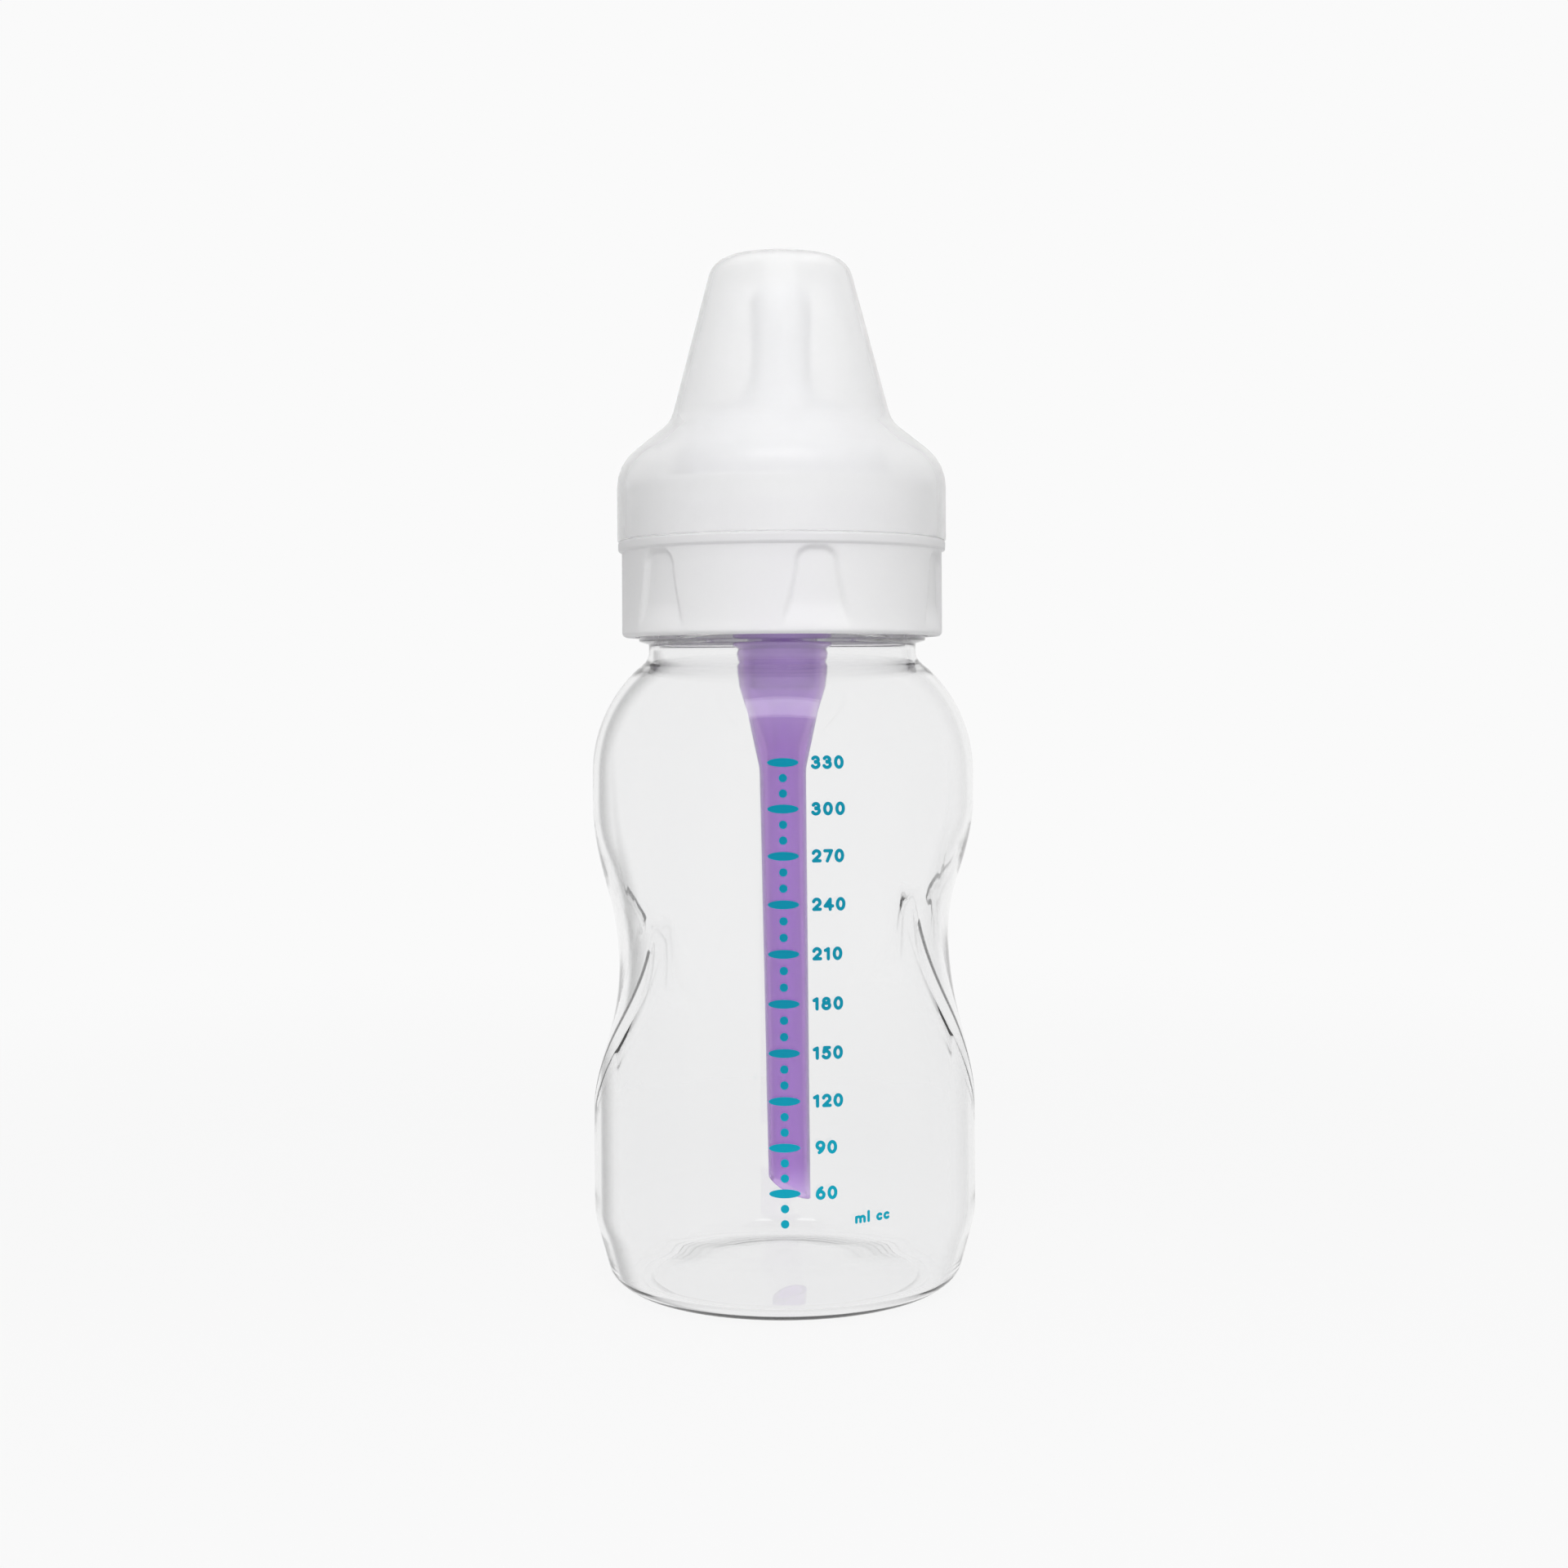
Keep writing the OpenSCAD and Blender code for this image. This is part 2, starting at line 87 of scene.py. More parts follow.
# Inside, the neck's corner is lower and rounder, and the shoulder's arc stops further from it
bore_drop = 0.9
bore_round = neck_round * 1.4
shoulder_short = 5
bore_short = 9
bead_z = neck_z + 3.4
bead_h = 2.6
bead_out = 1.9

# Hand grips: each is curved round an axis on the far side of the bottle, and leans forwards
grip_depth = 4.9
grip_offset = 21
grip_low = 25.5
grip_high = 94.5
grip_slack = 0.4
grip_tilt = 0.5
waists = {-1: 57.6, 1: 63.9}
soft_edge = 3.0
crisp_edge = 0.06

# Thread
pitch = 4
turns = 1.25
thread_out = 2
thread_half = 1.0
thread_z = rim_z - 13

# Collar
skirt_z = bottom_of("collar")
plate_top = top_of("collar")
ledge_r = radius_of("collar")
skirt_r = ledge_r - 0.7
collar_bore_r = skirt_r - 2.6
drum_r = collar_bore_r + 1.7
flange_top = plate_top - 2.6
hole_r = 21.8
seat_r = neck_r + 0.45
flutes = 6
flute_depth = 0.9
flute_top = 3.9
flute_foot = 6.8
flute_arch = 2.8
flute_turn = math.radians(12)

# Nipple
ring_top = bottom_of("nipple")
nipple_r = hole_r - 0.3
lock_r = nipple_r + 1.1
lock_top = plate_top + 1.6
dome_h = 15
tip_h = 22
tip_r = 5.85
nipple_wall = 1.8
flow_r = 0.4
flange_r = seat_r - 0.3

# Travel cap
ledge_z = bottom_of("travel_cap")
ledge_h = 2
cap_top = top_of("travel_cap")
cap_r = radius_of("travel_cap")
cap_wall = 1.3
cap_side_h = 14.6
cap_shoulder_h = 8.2
cap_cone_r = 21.15
cap_tip_r = 12.9

# Vent
ring_w = 3
rib_r = bore_r - 0.3
rib_h = 3
rib_t = 1.2
arm_w = 3
arm_h = 3.2
stem_r = 6.4
stem_wall = 1.2
inner_r = 2.1
inner_bore_r = 1.3
boss_h = 1.2
cup_r = radius_of("vent_reservoir")
cup_wall = 1
cup_bulge = 0.5
cup_notch = 0.55
tube_r = 4.46
tube_end_r = 4
tube_bore_r = 3
tube_lean = 0.85
tube_slant = math.tan(math.radians(28))
tube_end_z = bottom_of("vent_reservoir")
cup_z = rim_z - 26
cup_funnel_h = 22
tube_top_z = cup_z - cup_funnel_h
socket_r = cup_r + 0.08
socket_wall = 1.4
socket_z = rim_z - 8
stem_z = ring_top - 33.6
inner_top_z = stem_z - (stem_r - inner_r) * 0.9
inner_end_z = bottom_of("vent_insert")
inner_slant = math.tan(math.radians(60))

# Printed scale
ink_t = 0.06
first_mark_z = 24.4
mark_step = 8.38
mark_bow = 0.5
marks = 10
mark_half_l = 2.75
mark_half_h = 0.78
dot_r = 0.74
stroke_half = 0.125     # in shares of a digit's height, as is letter_gap
letter_gap = 0.09
number_x = 5.0
short_number_x = 5.4
number_h = 2.38
units_x = 12.6
units_z = 18.6
units_h = 1.95


# ---- Outlines -------------------------------------------------------------------------------

def rounded(corners, step=5):
    """Points of an outline whose corners [r, z, radius] are rounded. Its ends stay as they are."""
    points = []
    for i, (x, y, radius) in enumerate(corners):
        p = np.array([x, y], float)
        if radius == 0 or i in (0, len(corners) - 1):
            points.append(p)
            continue
        u = np.array(corners[i - 1][:2], float) - p
        v = np.array(corners[i + 1][:2], float) - p
        u, v = u / np.linalg.norm(u), v / np.linalg.norm(v)
        half = math.acos(float(np.clip(u @ v, -1, 1))) / 2
        centre = p + (u + v) / np.linalg.norm(u + v) * radius / math.sin(half)
        start = p + u * radius / math.tan(half) - centre
        end = p + v * radius / math.tan(half) - centre
        first = math.atan2(start[1], start[0])
        turn = math.atan2(start[0] * end[1] - start[1] * end[0], float(start @ end))
        n = max(2, math.ceil(abs(math.degrees(turn)) / step))
        for k in range(n + 1):
            a = first + turn * k / n
            points.append(centre + radius * np.array([math.cos(a), math.sin(a)]))
    return np.array(points)


def arc(x, y, radius, start, end, n=16):
    """Corners along an arc about [x, y], with angles in degrees."""
    angles = np.radians(np.linspace(start, end, n + 1))
    return [(x + radius * math.cos(a), y + radius * math.sin(a), 0) for a in angles]


def dense(points, step, low=-1e9, high=1e9):
    """The same outline with no gap over step between points whose heights are from low to high."""
    out = [points[0]]
    for a, b in zip(points[:-1], points[1:]):
        inside = min(a[1], b[1]) < high and max(a[1], b[1]) > low
        n = max(1, math.ceil(np.linalg.norm(b - a) / step)) if inside else 1
        out += [a + (b - a) * k / n for k in range(1, n + 1)]
    return np.array(out)


# ---- Meshes ---------------------------------------------------------------------------------

def make_mesh(name, points, faces, sharp_angle=40, sharp_pairs=()):
    """A smooth mesh from points in millimetres. sharp_pairs are the edges that stay crisp."""
    mesh = bpy.data.meshes.new(name)
    mesh.from_pydata((np.asarray(points) * MM).tolist(), [], faces)
    mesh.validate()
    mesh.shade_smooth()
    mesh.set_sharp_from_angle(angle=math.radians(sharp_angle))
    if len(sharp_pairs):
        pairs = np.sort(np.array(sharp_pairs), axis=1)
        ends = np.empty(len(mesh.edges) * 2, np.int64)
        mesh.edges.foreach_get("vertices", ends)
        ends = np.sort(ends.reshape(-1, 2), axis=1)
        count = len(mesh.vertices)
        crisp = np.isin(ends[:, 0] * count + ends[:, 1], pairs[:, 0] * count + pairs[:, 1])
        flags = mesh.attributes.get("sharp_edge")
        flags = flags or mesh.attributes.new("sharp_edge", "BOOLEAN", "EDGE")
        was = np.zeros(len(mesh.edges), bool)
        flags.data.foreach_get("value", was)
        flags.data.foreach_set("value", was | crisp)
    return mesh


def piece(name, mesh, look, body, slot, *nodes):
    """Puts a mesh in the scene as a piece that rides on a body and stands for CAD nodes."""
    obj = bpy.data.objects.new(name, mesh)
    bpy.context.scene.collection.objects.link(obj)
    mesh.materials.clear()
    mesh.materials.append(look)
    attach(obj, body)
    if nodes:
        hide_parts(*nodes)
    return obj


def turned(outline, columns=192, ring=False, warp=None, splits=None):
    """Points and faces of a solid of revolution. An outline runs from the axis to the axis,
    or, for a ring, round its section. warp(theta, r, z) moves its points. splits holds, for each
    column, the row of a crease that the faces' diagonals follow."""
    theta = np.arange(columns) * TURN / columns
    rows = len(outline)
    r = np.repeat(outline[:, 0][:, None], columns, axis=1)
    z = np.repeat(outline[:, 1][:, None], columns, axis=1)
    if warp:
        r, z = warp(theta[None, :], r, z)
    points = np.stack([r * np.cos(theta), r * np.sin(theta), z], axis=2).reshape(-1, 3)
    faces = []
    last = rows if ring else rows - 1
    for j in range(last):
        k = (j + 1) % rows
        if outline[j][0] < 1e-9 and outline[k][0] < 1e-9:
            continue
        for i in range(columns):
            n = (i + 1) % columns
            a, b, c, d = j * columns + i, j * columns + n, k * columns + n, k * columns + i
            if outline[j][0] < 1e-9:
                faces.append((j * columns, c, d))
            elif outline[k][0] < 1e-9:
                faces.append((a, b, k * columns))
            elif splits and {splits.get(i), splits.get(n)} == {j, k} and splits[i] != splits[n]:
                if splits[i] == j:
                    faces += [(a, b, c), (a, c, d)]
                else:
                    faces += [(a, b, d), (b, c, d)]
            else:
                faces.append((a, b, c, d))
    return tidy(points, faces)


def tidy(points, faces):
    """The same solid without points that no face uses."""
    used = np.unique(np.concatenate([np.array(f) for f in faces]))
    place = np.full(len(points), -1)
    place[used] = np.arange(len(used))
    return points[used], [tuple(int(place[v]) for v in f) for f in faces], place


def lathe(name, outline, look, body, slot, *nodes, columns=192, ring=False, warp=None, sharp=40):
    points, faces, _ = turned(outline, columns, ring, warp)
    return piece(name, make_mesh(name, points, faces, sharp), look, body, slot, *nodes)


# ---- Materials ------------------------------------------------------------------------------

def new_look(name):
    look = bpy.data.materials.new(name)
    look.use_nodes = True
    tree = look.node_tree
    return look, tree, tree.nodes["Principled BSDF"]


def texture(tree, scale, detail=3, stretch=(1, 1, 1)):
    """A noise pattern in the object's own space. scale is in bumps per metre."""
    place = tree.nodes.new("ShaderNodeTexCoord")
    mapping = tree.nodes.new("ShaderNodeMapping")
    mapping.inputs["Scale"].default_value = stretch
    noise = tree.nodes.new("ShaderNodeTexNoise")
    noise.inputs["Scale"].default_value = scale
    noise.inputs["Detail"].default_value = detail
    tree.links.new(place.outputs["Object"], mapping.inputs["Vector"])
    tree.links.new(mapping.outputs["Vector"], noise.inputs["Vector"])
    return noise.outputs["Fac"]


def spread(tree, value, low, high):
    """value from 0 to 1 as a number from low to high."""
    node = tree.nodes.new("ShaderNodeMapRange")
    node.inputs["To Min"].default_value = low
    node.inputs["To Max"].default_value = high
    tree.links.new(value, node.inputs["Value"])
    return node.outputs["Result"]


def blend_colours(tree, value, first, second):
    """first where value is 0 and second where it is 1, each a socket or a colour."""
    node = tree.nodes.new("ShaderNodeMix")
    node.data_type = "RGBA"
    for name, colour in (("A", first), ("B", second)):
        if isinstance(colour, tuple):
            node.inputs[name].default_value = (*colour, 1)
        else:
            tree.links.new(colour, node.inputs[name])
    tree.links.new(value, node.inputs["Factor"])
    return node.outputs["Result"]


def mix_shaders(tree, value, first, second):
    """first where value is 0 and second where it is 1."""
    node = tree.nodes.new("ShaderNodeMixShader")
    tree.links.new(value, node.inputs["Fac"])
    tree.links.new(first, node.inputs[1])
    tree.links.new(second, node.inputs[2])
    return node.outputs["Shader"]


def uneven(tree, shader, value, depth):
    """Gives a shader's surface a slight unevenness of the given depth, in millimetres."""
    bump = tree.nodes.new("ShaderNodeBump")
    bump.inputs["Distance"].default_value = depth * MM
    tree.links.new(value, bump.inputs["Height"])
    tree.links.new(bump.outputs["Normal"], shader.inputs["Normal"])


def lets_lamps_through(tree, shader, tint):
    """Lamps shine through the surface onto what is behind it."""
    path = tree.nodes.new("ShaderNodeLightPath")
    clear = tree.nodes.new("ShaderNodeBsdfTransparent")
    clear.inputs["Color"].default_value = (*tint, 1)
    mixed = mix_shaders(tree, path.outputs["Is Shadow Ray"], shader.outputs["BSDF"],
                        clear.outputs["BSDF"])
    tree.links.new(mixed, tree.nodes["Material Output"].inputs["Surface"])


def absorbs(tree, colour, density):
    """Light is lost inside the material. density is per millimetre."""
    volume = tree.nodes.new("ShaderNodeVolumeAbsorption")
    volume.inputs["Color"].default_value = (*colour, 1)
    volume.inputs["Density"].default_value = density / MM
    tree.links.new(volume.outputs["Volume"], tree.nodes["Material Output"].inputs["Volume"])


def ramp(tree, value, start, end):
    """A smooth rise from 0 where value is start to 1 where it is end."""
    node = tree.nodes.new("ShaderNodeMapRange")
    node.interpolation_type = "SMOOTHSTEP"
    node.inputs["From Min"].default_value = start
    node.inputs["From Max"].default_value = end
    tree.links.new(value, node.inputs["Value"])
    return node.outputs["Result"]


def maths(tree, operation, first, second):
    """A Math node of two values, each a socket or a number."""
    node = tree.nodes.new("ShaderNodeMath")
    node.operation = operation
    for socket, value in zip(node.inputs, (first, second)):
        if isinstance(value, (int, float)):
            socket.default_value = value
        else:
            tree.links.new(value, socket)
    return node.outputs["Value"]


def product(tree, first, *others):
    for value in others:
        first = maths(tree, "MULTIPLY", first, value)
    return first


def turned_away(tree):
    """0 where the surface faces the eye, up to 1 where it is seen edge on."""
    weight = tree.nodes.new("ShaderNodeLayerWeight")
    weight.inputs["Blend"].default_value = 0.5
    return weight.outputs["Facing"]


def along_axis(tree, axis, start, end):
    """A smooth rise from 0 to 1 along one of the object's own axes, between two places in metres."""
    place = tree.nodes.new("ShaderNodeTexCoord")
    split = tree.nodes.new("ShaderNodeSeparateXYZ")
    tree.links.new(place.outputs["Object"], split.inputs["Vector"])
    return ramp(tree, split.outputs[axis], start, end)


def painted(tree, name):
    """A number that the mesh holds for each of its points."""
    node = tree.nodes.new("ShaderNodeAttribute")
    node.attribute_name = name
    return node.outputs["Fac"]


def clear_plastic():
    look, tree, shader = new_look("clear_plastic")
    cloud = texture(tree, 60, 2, (1, 1, 0.4))
    plain = blend_colours(tree, cloud, (0.99, 0.99, 0.99), (0.965, 0.967, 0.97))
    # Painted shade: near its outline the wall bends the light most, and a thin grey line painted there
    # stands in for the shade this shows, stronger at the left
    steep = turned_away(tree)
    back = tree.nodes.new("ShaderNodeNewGeometry").outputs["Backfacing"]
    rim = product(tree, ramp(tree, steep, 0.52, 0.7), ramp(tree, steep, 0.78, 0.71),
                  painted(tree, "outside"), maths(tree, "SUBTRACT", 0.7, back),
                  spread(tree, along_axis(tree, "X", 0.01, -0.02), 0.3, 1))
    # Painted shade: the grips' creases are painted dark where they turn away
    crease = product(tree, ramp(tree, painted(tree, "crease"), 0.35, 0.7),
                     ramp(tree, steep, 0.08, 0.35))
    # The outline line and the creases are painted shade, mixed into the base colour as near-black
    painted_shade_colour = blend_colours(tree, maths(tree, "MAXIMUM", rim, crease), plain, (0.06, 0.06, 0.06))
    tree.links.new(painted_shade_colour, shader.inputs["Base Color"])
    tree.links.new(spread(tree, texture(tree, 500, 4), 0.0, 0.04), shader.inputs["Roughness"])
    shader.inputs["IOR"].default_value = 1.49
    shader.inputs["Transmission Weight"].default_value = 1
    uneven(tree, shader, cloud, 0.04)
    absorbs(tree, (0.5, 0.5, 0.5), 0.04)
    lets_lamps_through(tree, shader, (0.94, 0.94, 0.94))
    return look


def frosted_plastic():
    look, tree, shader = new_look("frosted_plastic")
    cloud = texture(tree, 90, 3, (1, 1, 0.5))
    tree.links.new(blend_colours(tree, cloud, (0.97, 0.97, 0.97), (0.95, 0.95, 0.955)),
                   shader.inputs["Base Color"])
    tree.links.new(spread(tree, texture(tree, 700, 4), 0.15, 0.22), shader.inputs["Roughness"])
    shader.inputs["IOR"].default_value = 1.3
    shader.inputs["Transmission Weight"].default_value = 0.7
    uneven(tree, shader, cloud, 0.03)
    lets_lamps_through(tree, shader, (0.8, 0.8, 0.8))
    return look


def silicone():
    look, tree, shader = new_look("silicone")
    cloud = texture(tree, 120, 3)
    tree.links.new(blend_colours(tree, cloud, (0.93, 0.93, 0.94), (0.88, 0.885, 0.9)),
                   shader.inputs["Base Color"])
    tree.links.new(spread(tree, texture(tree, 900, 3), 0.25, 0.4), shader.inputs["Roughness"])
    shader.inputs["IOR"].default_value = 1.41
    shader.inputs["Transmission Weight"].default_value = 0.5
    uneven(tree, shader, cloud, 0.02)
    lets_lamps_through(tree, shader, (0.7, 0.7, 0.72))
    return look


def white_plastic():
    look, tree, shader = new_look("white_plastic")
    cloud = texture(tree, 80, 3)
    tree.links.new(blend_colours(tree, cloud, (0.93, 0.93, 0.93), (0.91, 0.91, 0.915)),
                   shader.inputs["Base Color"])
    tree.links.new(spread(tree, texture(tree, 600, 4), 0.38, 0.48), shader.inputs["Roughness"])
    shader.inputs["IOR"].default_value = 1.4
    shader.inputs["Transmission Weight"].default_value = 0.35
    uneven(tree, shader, texture(tree, 600, 2), 0.002)
    lets_lamps_through(tree, shader, (0.94, 0.94, 0.94))
    return look


def violet_plastic(name, deep, pale, rim):
    """deep and pale are its colours face on, and the third colour is the painted shade it takes where
    it turns away.
    """
    look, tree, shader = new_look(name)
    cloud = texture(tree, 150, 3, (1, 1, 0.3))
    # Painted shade: the colour darkens towards the third one where the surface turns away
    tube = blend_colours(tree, ramp(tree, turned_away(tree), 0.3, 0.75),
                         blend_colours(tree, cloud, deep, pale), rim)
    # The cup with its funnel, and the tube's very end, are paler than the tube
    paler = maths(tree, "ADD", along_axis(tree, "Z", 0.1, 0.116), along_axis(tree, "Z", 0.023, 0.015))
    tree.links.new(blend_colours(tree, paler, tube, (0.77, 0.6, 0.93)), shader.inputs["Base Color"])
    tree.links.new(spread(tree, texture(tree, 900, 4), 0.03, 0.09), shader.inputs["Roughness"])
    shader.inputs["IOR"].default_value = 1.3
    shader.inputs["Transmission Weight"].default_value = 0.65
    uneven(tree, shader, cloud, 0.02)
    lets_lamps_through(tree, shader, (0.85, 0.7, 0.93))
    return look


def ink():
    look, tree, shader = new_look("ink")
    grain = texture(tree, 3000, 4)
    # Painted shade: the marks are darker higher up, where the violet tube behind them shows through,
    # and the lowest marks are the lightest
    shade = maths(tree, "ADD", along_axis(tree, "Z", 0.055, 0.02), product(tree, grain, 0.3))
    tree.links.new(blend_colours(tree, shade, (0.0, 0.32, 0.47), (0.0, 0.46, 0.62)),
                   shader.inputs["Base Color"])
    tree.links.new(spread(tree, grain, 0.35, 0.5), shader.inputs["Roughness"])
    shader.inputs["Specular IOR Level"].default_value = 0.02
    shader.inputs["Transmission Weight"].default_value = 0.3
    uneven(tree, shader, grain, 0.005)
    return look


# ---- Bottle ---------------------------------------------------------------------------------

def body_outline(t):
    """Corners of the round body and neck, drawn in by t, from the axis at the foot to the rim."""
    inner = foot_r - foot_w
    bend = edge_round - t * 0.4
    toe = (edge_r - foot_r) * 0.58
    r, end_z, corner, short = neck_r, neck_z, neck_round, shoulder_short
    if t:
        r, end_z, corner, short = bore_r, neck_z - bore_drop, bore_round, bore_short
    end = math.degrees(math.asin((end_z - body_h) / (shoulder_r - t))) - short
    return [(0, push_up + t, 0), (inner - push_slope + t * 0.5, push_up + t, 90),
            (inner + t * 0.5, t, 3), (foot_r + t * 0.2, t, 0 if t else 0.8),
            (foot_r + toe - t * 0.4, edge_h * 0.2 + t, bend),
            (edge_r - t * 0.9, edge_h + t * 0.5, bend), (body_r - t, taper_h, taper_round),
            *arc(shoulder_x, body_h, shoulder_r - t, 0, end, 14), (r, end_z, corner),
            (r, end_z + corner * 0.6, 0)]


def smoothstep(x, low, high):
    x = np.clip((x - low) / (high - low), 0, 1)
    return x * x * (3 - 2 * x)


def distance_to(segments, points, furthest=3.0):
    """Distance of each point from the nearest of the segments, and no more than furthest."""
    nearest = np.full(points.shape[:-1], furthest)
    for a, b in segments:
        share = np.clip((points - a) @ (b - a) / ((b - a) @ (b - a)), 0, 1)
        away = np.linalg.norm(points - a - share[..., None] * (b - a), axis=-1)
        nearest = np.minimum(nearest, away)
    return nearest


def smooth_min(a, b, k):
    """The lesser of a and b, with a round of k where they cross."""
    h = np.maximum(k - np.abs(a - b), 0) / k
    return np.minimum(a, b) - h * h * k / 4


def grip_radius(theta, z, way, t):
    """Radius of the grip form on one side (way is -1 or 1), and the height above its waist."""
    level = z + grip_tilt * body_r * np.sin(theta)
    up = level - waists[way]
    reach = np.where(up < 0, waists[way] - grip_low, grip_high - waists[way])
    depth = grip_depth + grip_slack
    angle = 2 * np.arctan(depth / reach)
    bend = reach / 2 / np.sin(angle)
    u = np.clip(np.abs(up) / reach, 0, 1)
    low = bend - np.sqrt(bend**2 - (np.minimum(u, 0.5) * reach)**2)
    high = depth - bend + np.sqrt(bend**2 - ((1 - np.maximum(u, 0.5)) * reach)**2)
    form_r = grip_offset + body_r - grip_depth + np.where(u < 0.5, low, high) - t
    side, across = way * np.cos(theta), np.sin(theta)
    return np.sqrt(form_r**2 - (grip_offset * across)**2) - grip_offset * side, up


def crispness(theta, up, low=30, high=95):
    """1 where a grip's edge is crisp: below the waist in front and, over less of it, above the
    waist behind. low and high are products of two distances in mm, above the waist and back."""
    away = up * body_r * np.sin(theta)
    return smoothstep(np.where(np.sin(theta) < 0, away, away * 0.3), low, high)


def drawn_in(theta, r, z, t):
    """The round body's radius r at height z, drawn in by the grips."""
    for way in waists:
        grip, up = grip_radius(theta, z, way, t)
        edge = soft_edge * np.minimum(1, (2 * np.sin(theta))**2)
        if t == 0:
            crisp = crispness(theta, up)
            edge = edge * (1 - crisp) + crisp_edge * crisp
        r = smooth_min(r, grip, np.maximum(edge, 1e-3))
    return r


def thread_height(theta, z):
    """How far the neck's thread stands out at angle theta and height z."""
    start = TURN / 48
    out = np.zeros(np.broadcast(theta, z).shape)
    for lap in (0, 1):
        a = np.mod(theta - start, TURN) + lap * TURN
        away = np.abs(z - thread_z - pitch * a / TURN)
        lead = np.clip(np.minimum(a, turns * TURN - a) / (TURN / 8), 0, 1)
        shape = np.clip((thread_half - away) / 0.5, 0, 1)
        out = np.maximum(out, thread_out * lead * shape)
    return out


def bottle(look):
    columns = shell_columns
    outer = dense(rounded(body_outline(0)), 1.5, 6, body_h + 20)
    neck = rounded([(*outer[-1], 0), (neck_r, bead_z - bead_out * 0.3, 0.3),
                    (neck_r + bead_out, bead_z, 0.4), (neck_r + bead_out, bead_z + bead_h, 0.4),
                    (neck_r, bead_z + bead_h, 0.4), (neck_r, rim_z, 0.4), (bore_r, rim_z, 0.4),
                    (bore_r, rim_z - 1, 0)], 20)
    neck = dense(neck, 0.6, thread_z - 2, rim_z - 4)
    inner = dense(rounded(body_outline(wall), 8), 2.5, 8, body_h + 18)[::-1]
    outline = np.vstack([outer[:-1], neck, inner])
    outer_rows, neck_rows = len(outer) - 1, len(neck)
    # The outer side's rows, and for each column the row and the height of a grip's crease
    side = slice(int(np.argmax(outer[:, 1] > 6)), outer_rows - 1)
    rise = outer[side]
    theta = np.arange(columns) * TURN / columns
    crease, level = {}, {}
    for i, a in enumerate(theta):
        for way in waists:
            grip, up = grip_radius(a, rise[:, 1], way, 0)
            gap = grip - rise[:, 0]
            for j in np.nonzero(gap[:-1] * gap[1:] < 0)[0]:
                if crispness(a, up[j]) > 0.3:
                    share = gap[j] / (gap[j] - gap[j + 1])
                    crease[i] = side.start + int(j) + int(share > 0.5)
                    level[i] = rise[j, 1] + share * (rise[j + 1, 1] - rise[j, 1])

    def warp(theta, r, z):
        for i, j in crease.items():
            z[j, i] = level[i]
            r[j, i] = np.interp(level[i], rise[:, 1], rise[:, 0])
        side_r, side_z = r[:outer_rows], z[:outer_rows]
        r[:outer_rows] = np.where(side_z > 4, drawn_in(theta, side_r, side_z, 0), side_r)
        mid = slice(outer_rows, outer_rows + neck_rows)
        r[mid] += np.where(np.abs(r[mid] - neck_r) < 1e-6, thread_height(theta, z[mid]), 0)
        end = slice(outer_rows + neck_rows, None)
        r[end] = np.where(z[end] > 5, drawn_in(theta, r[end], z[end], wall), r[end])
        return r, z

    points, faces, place = turned(outline, columns, warp=warp, splits=crease)
    pairs = []
    for i, j in crease.items():
        n = (i + 1) % columns
        if n in crease and abs(crease[n] - j) <= 1:
            pairs.append((place[j * columns + i], place[crease[n] * columns + n]))
    mesh = make_mesh("bottle_shell", points, faces, 60, pairs)
    # How much each point belongs to a crease, which falls by 1 for each millimetre away from it: the
    # mask for the creases' painted shade
    angle = np.arctan2(points[:, 1], points[:, 0])
    waist = np.where(points[:, 0] < 0, waists[-1], waists[1])
    up = points[:, 2] + grip_tilt * body_r * np.sin(angle) - waist
    crease_shade = crispness(angle, up, 40, 110)
    crease_shade -= distance_to([(points[a], points[b]) for a, b in pairs], points)
    outer_points = place[:outer_rows * columns]
    outside = np.zeros(len(points))
    outside[outer_points[outer_points >= 0]] = 1
    # The creases' shade is painted only on the outer wall, in front
    crease_shade = np.where((outside > 0) & (points[:, 1] < 0), crease_shade, -3)
    for name, values in (("crease", crease_shade), ("outside", outside)):
        mesh.attributes.new(name, "FLOAT", "POINT").data.foreach_set("value", values)
    return piece("bottle_shell", mesh, look, "bottle_body", "clear_plastic", "bottle")


# ---- Printed scale --------------------------------------------------------------------------

def mark_z(i):
    """Height of long mark i. The body is narrower at its waist, so the steps there are longer."""
    return first_mark_z + mark_step * i - mark_bow * (math.sin(math.radians(i * 40))
                                                      + 0.4 * math.sin(math.radians(i * 20)))


def print_on_body(name, flat, look, *nodes, along=False):
    """Lays flat shapes, drawn in X and Z, on the front of the bottle as a thin layer of ink.
    along keeps their widths along the curve; otherwise they keep them as seen from the front."""
    shape = rounded(body_outline(0))
    side = shape[shape[:, 1] > edge_h]
    points, faces = [], []
    for outline, triangles in flat:
        for lift in (0.01, ink_t):
            for x, z in outline:
                r = float(np.interp(z, side[:, 1], side[:, 0])) + lift
                a = x / body_r if along else math.asin(x / r)
                points.append((r * math.sin(a), -r * math.cos(a), z))
        n = len(outline)
        low = len(points) - 2 * n
        high = low + n
        edges = {}
        for a, b, c in triangles:
            faces += [(high + a, high + b, high + c), (low + c, low + b, low + a)]
            for pair in ((a, b), (b, c), (c, a)):
                edges[pair] = True
        faces += [(low + a, low + b, high + b, high + a) for a, b in edges if (b, a) not in edges]
    mesh = make_mesh(name, points, faces, 40)
    return piece(name, mesh, look, "bottle_body", "ink", *nodes)


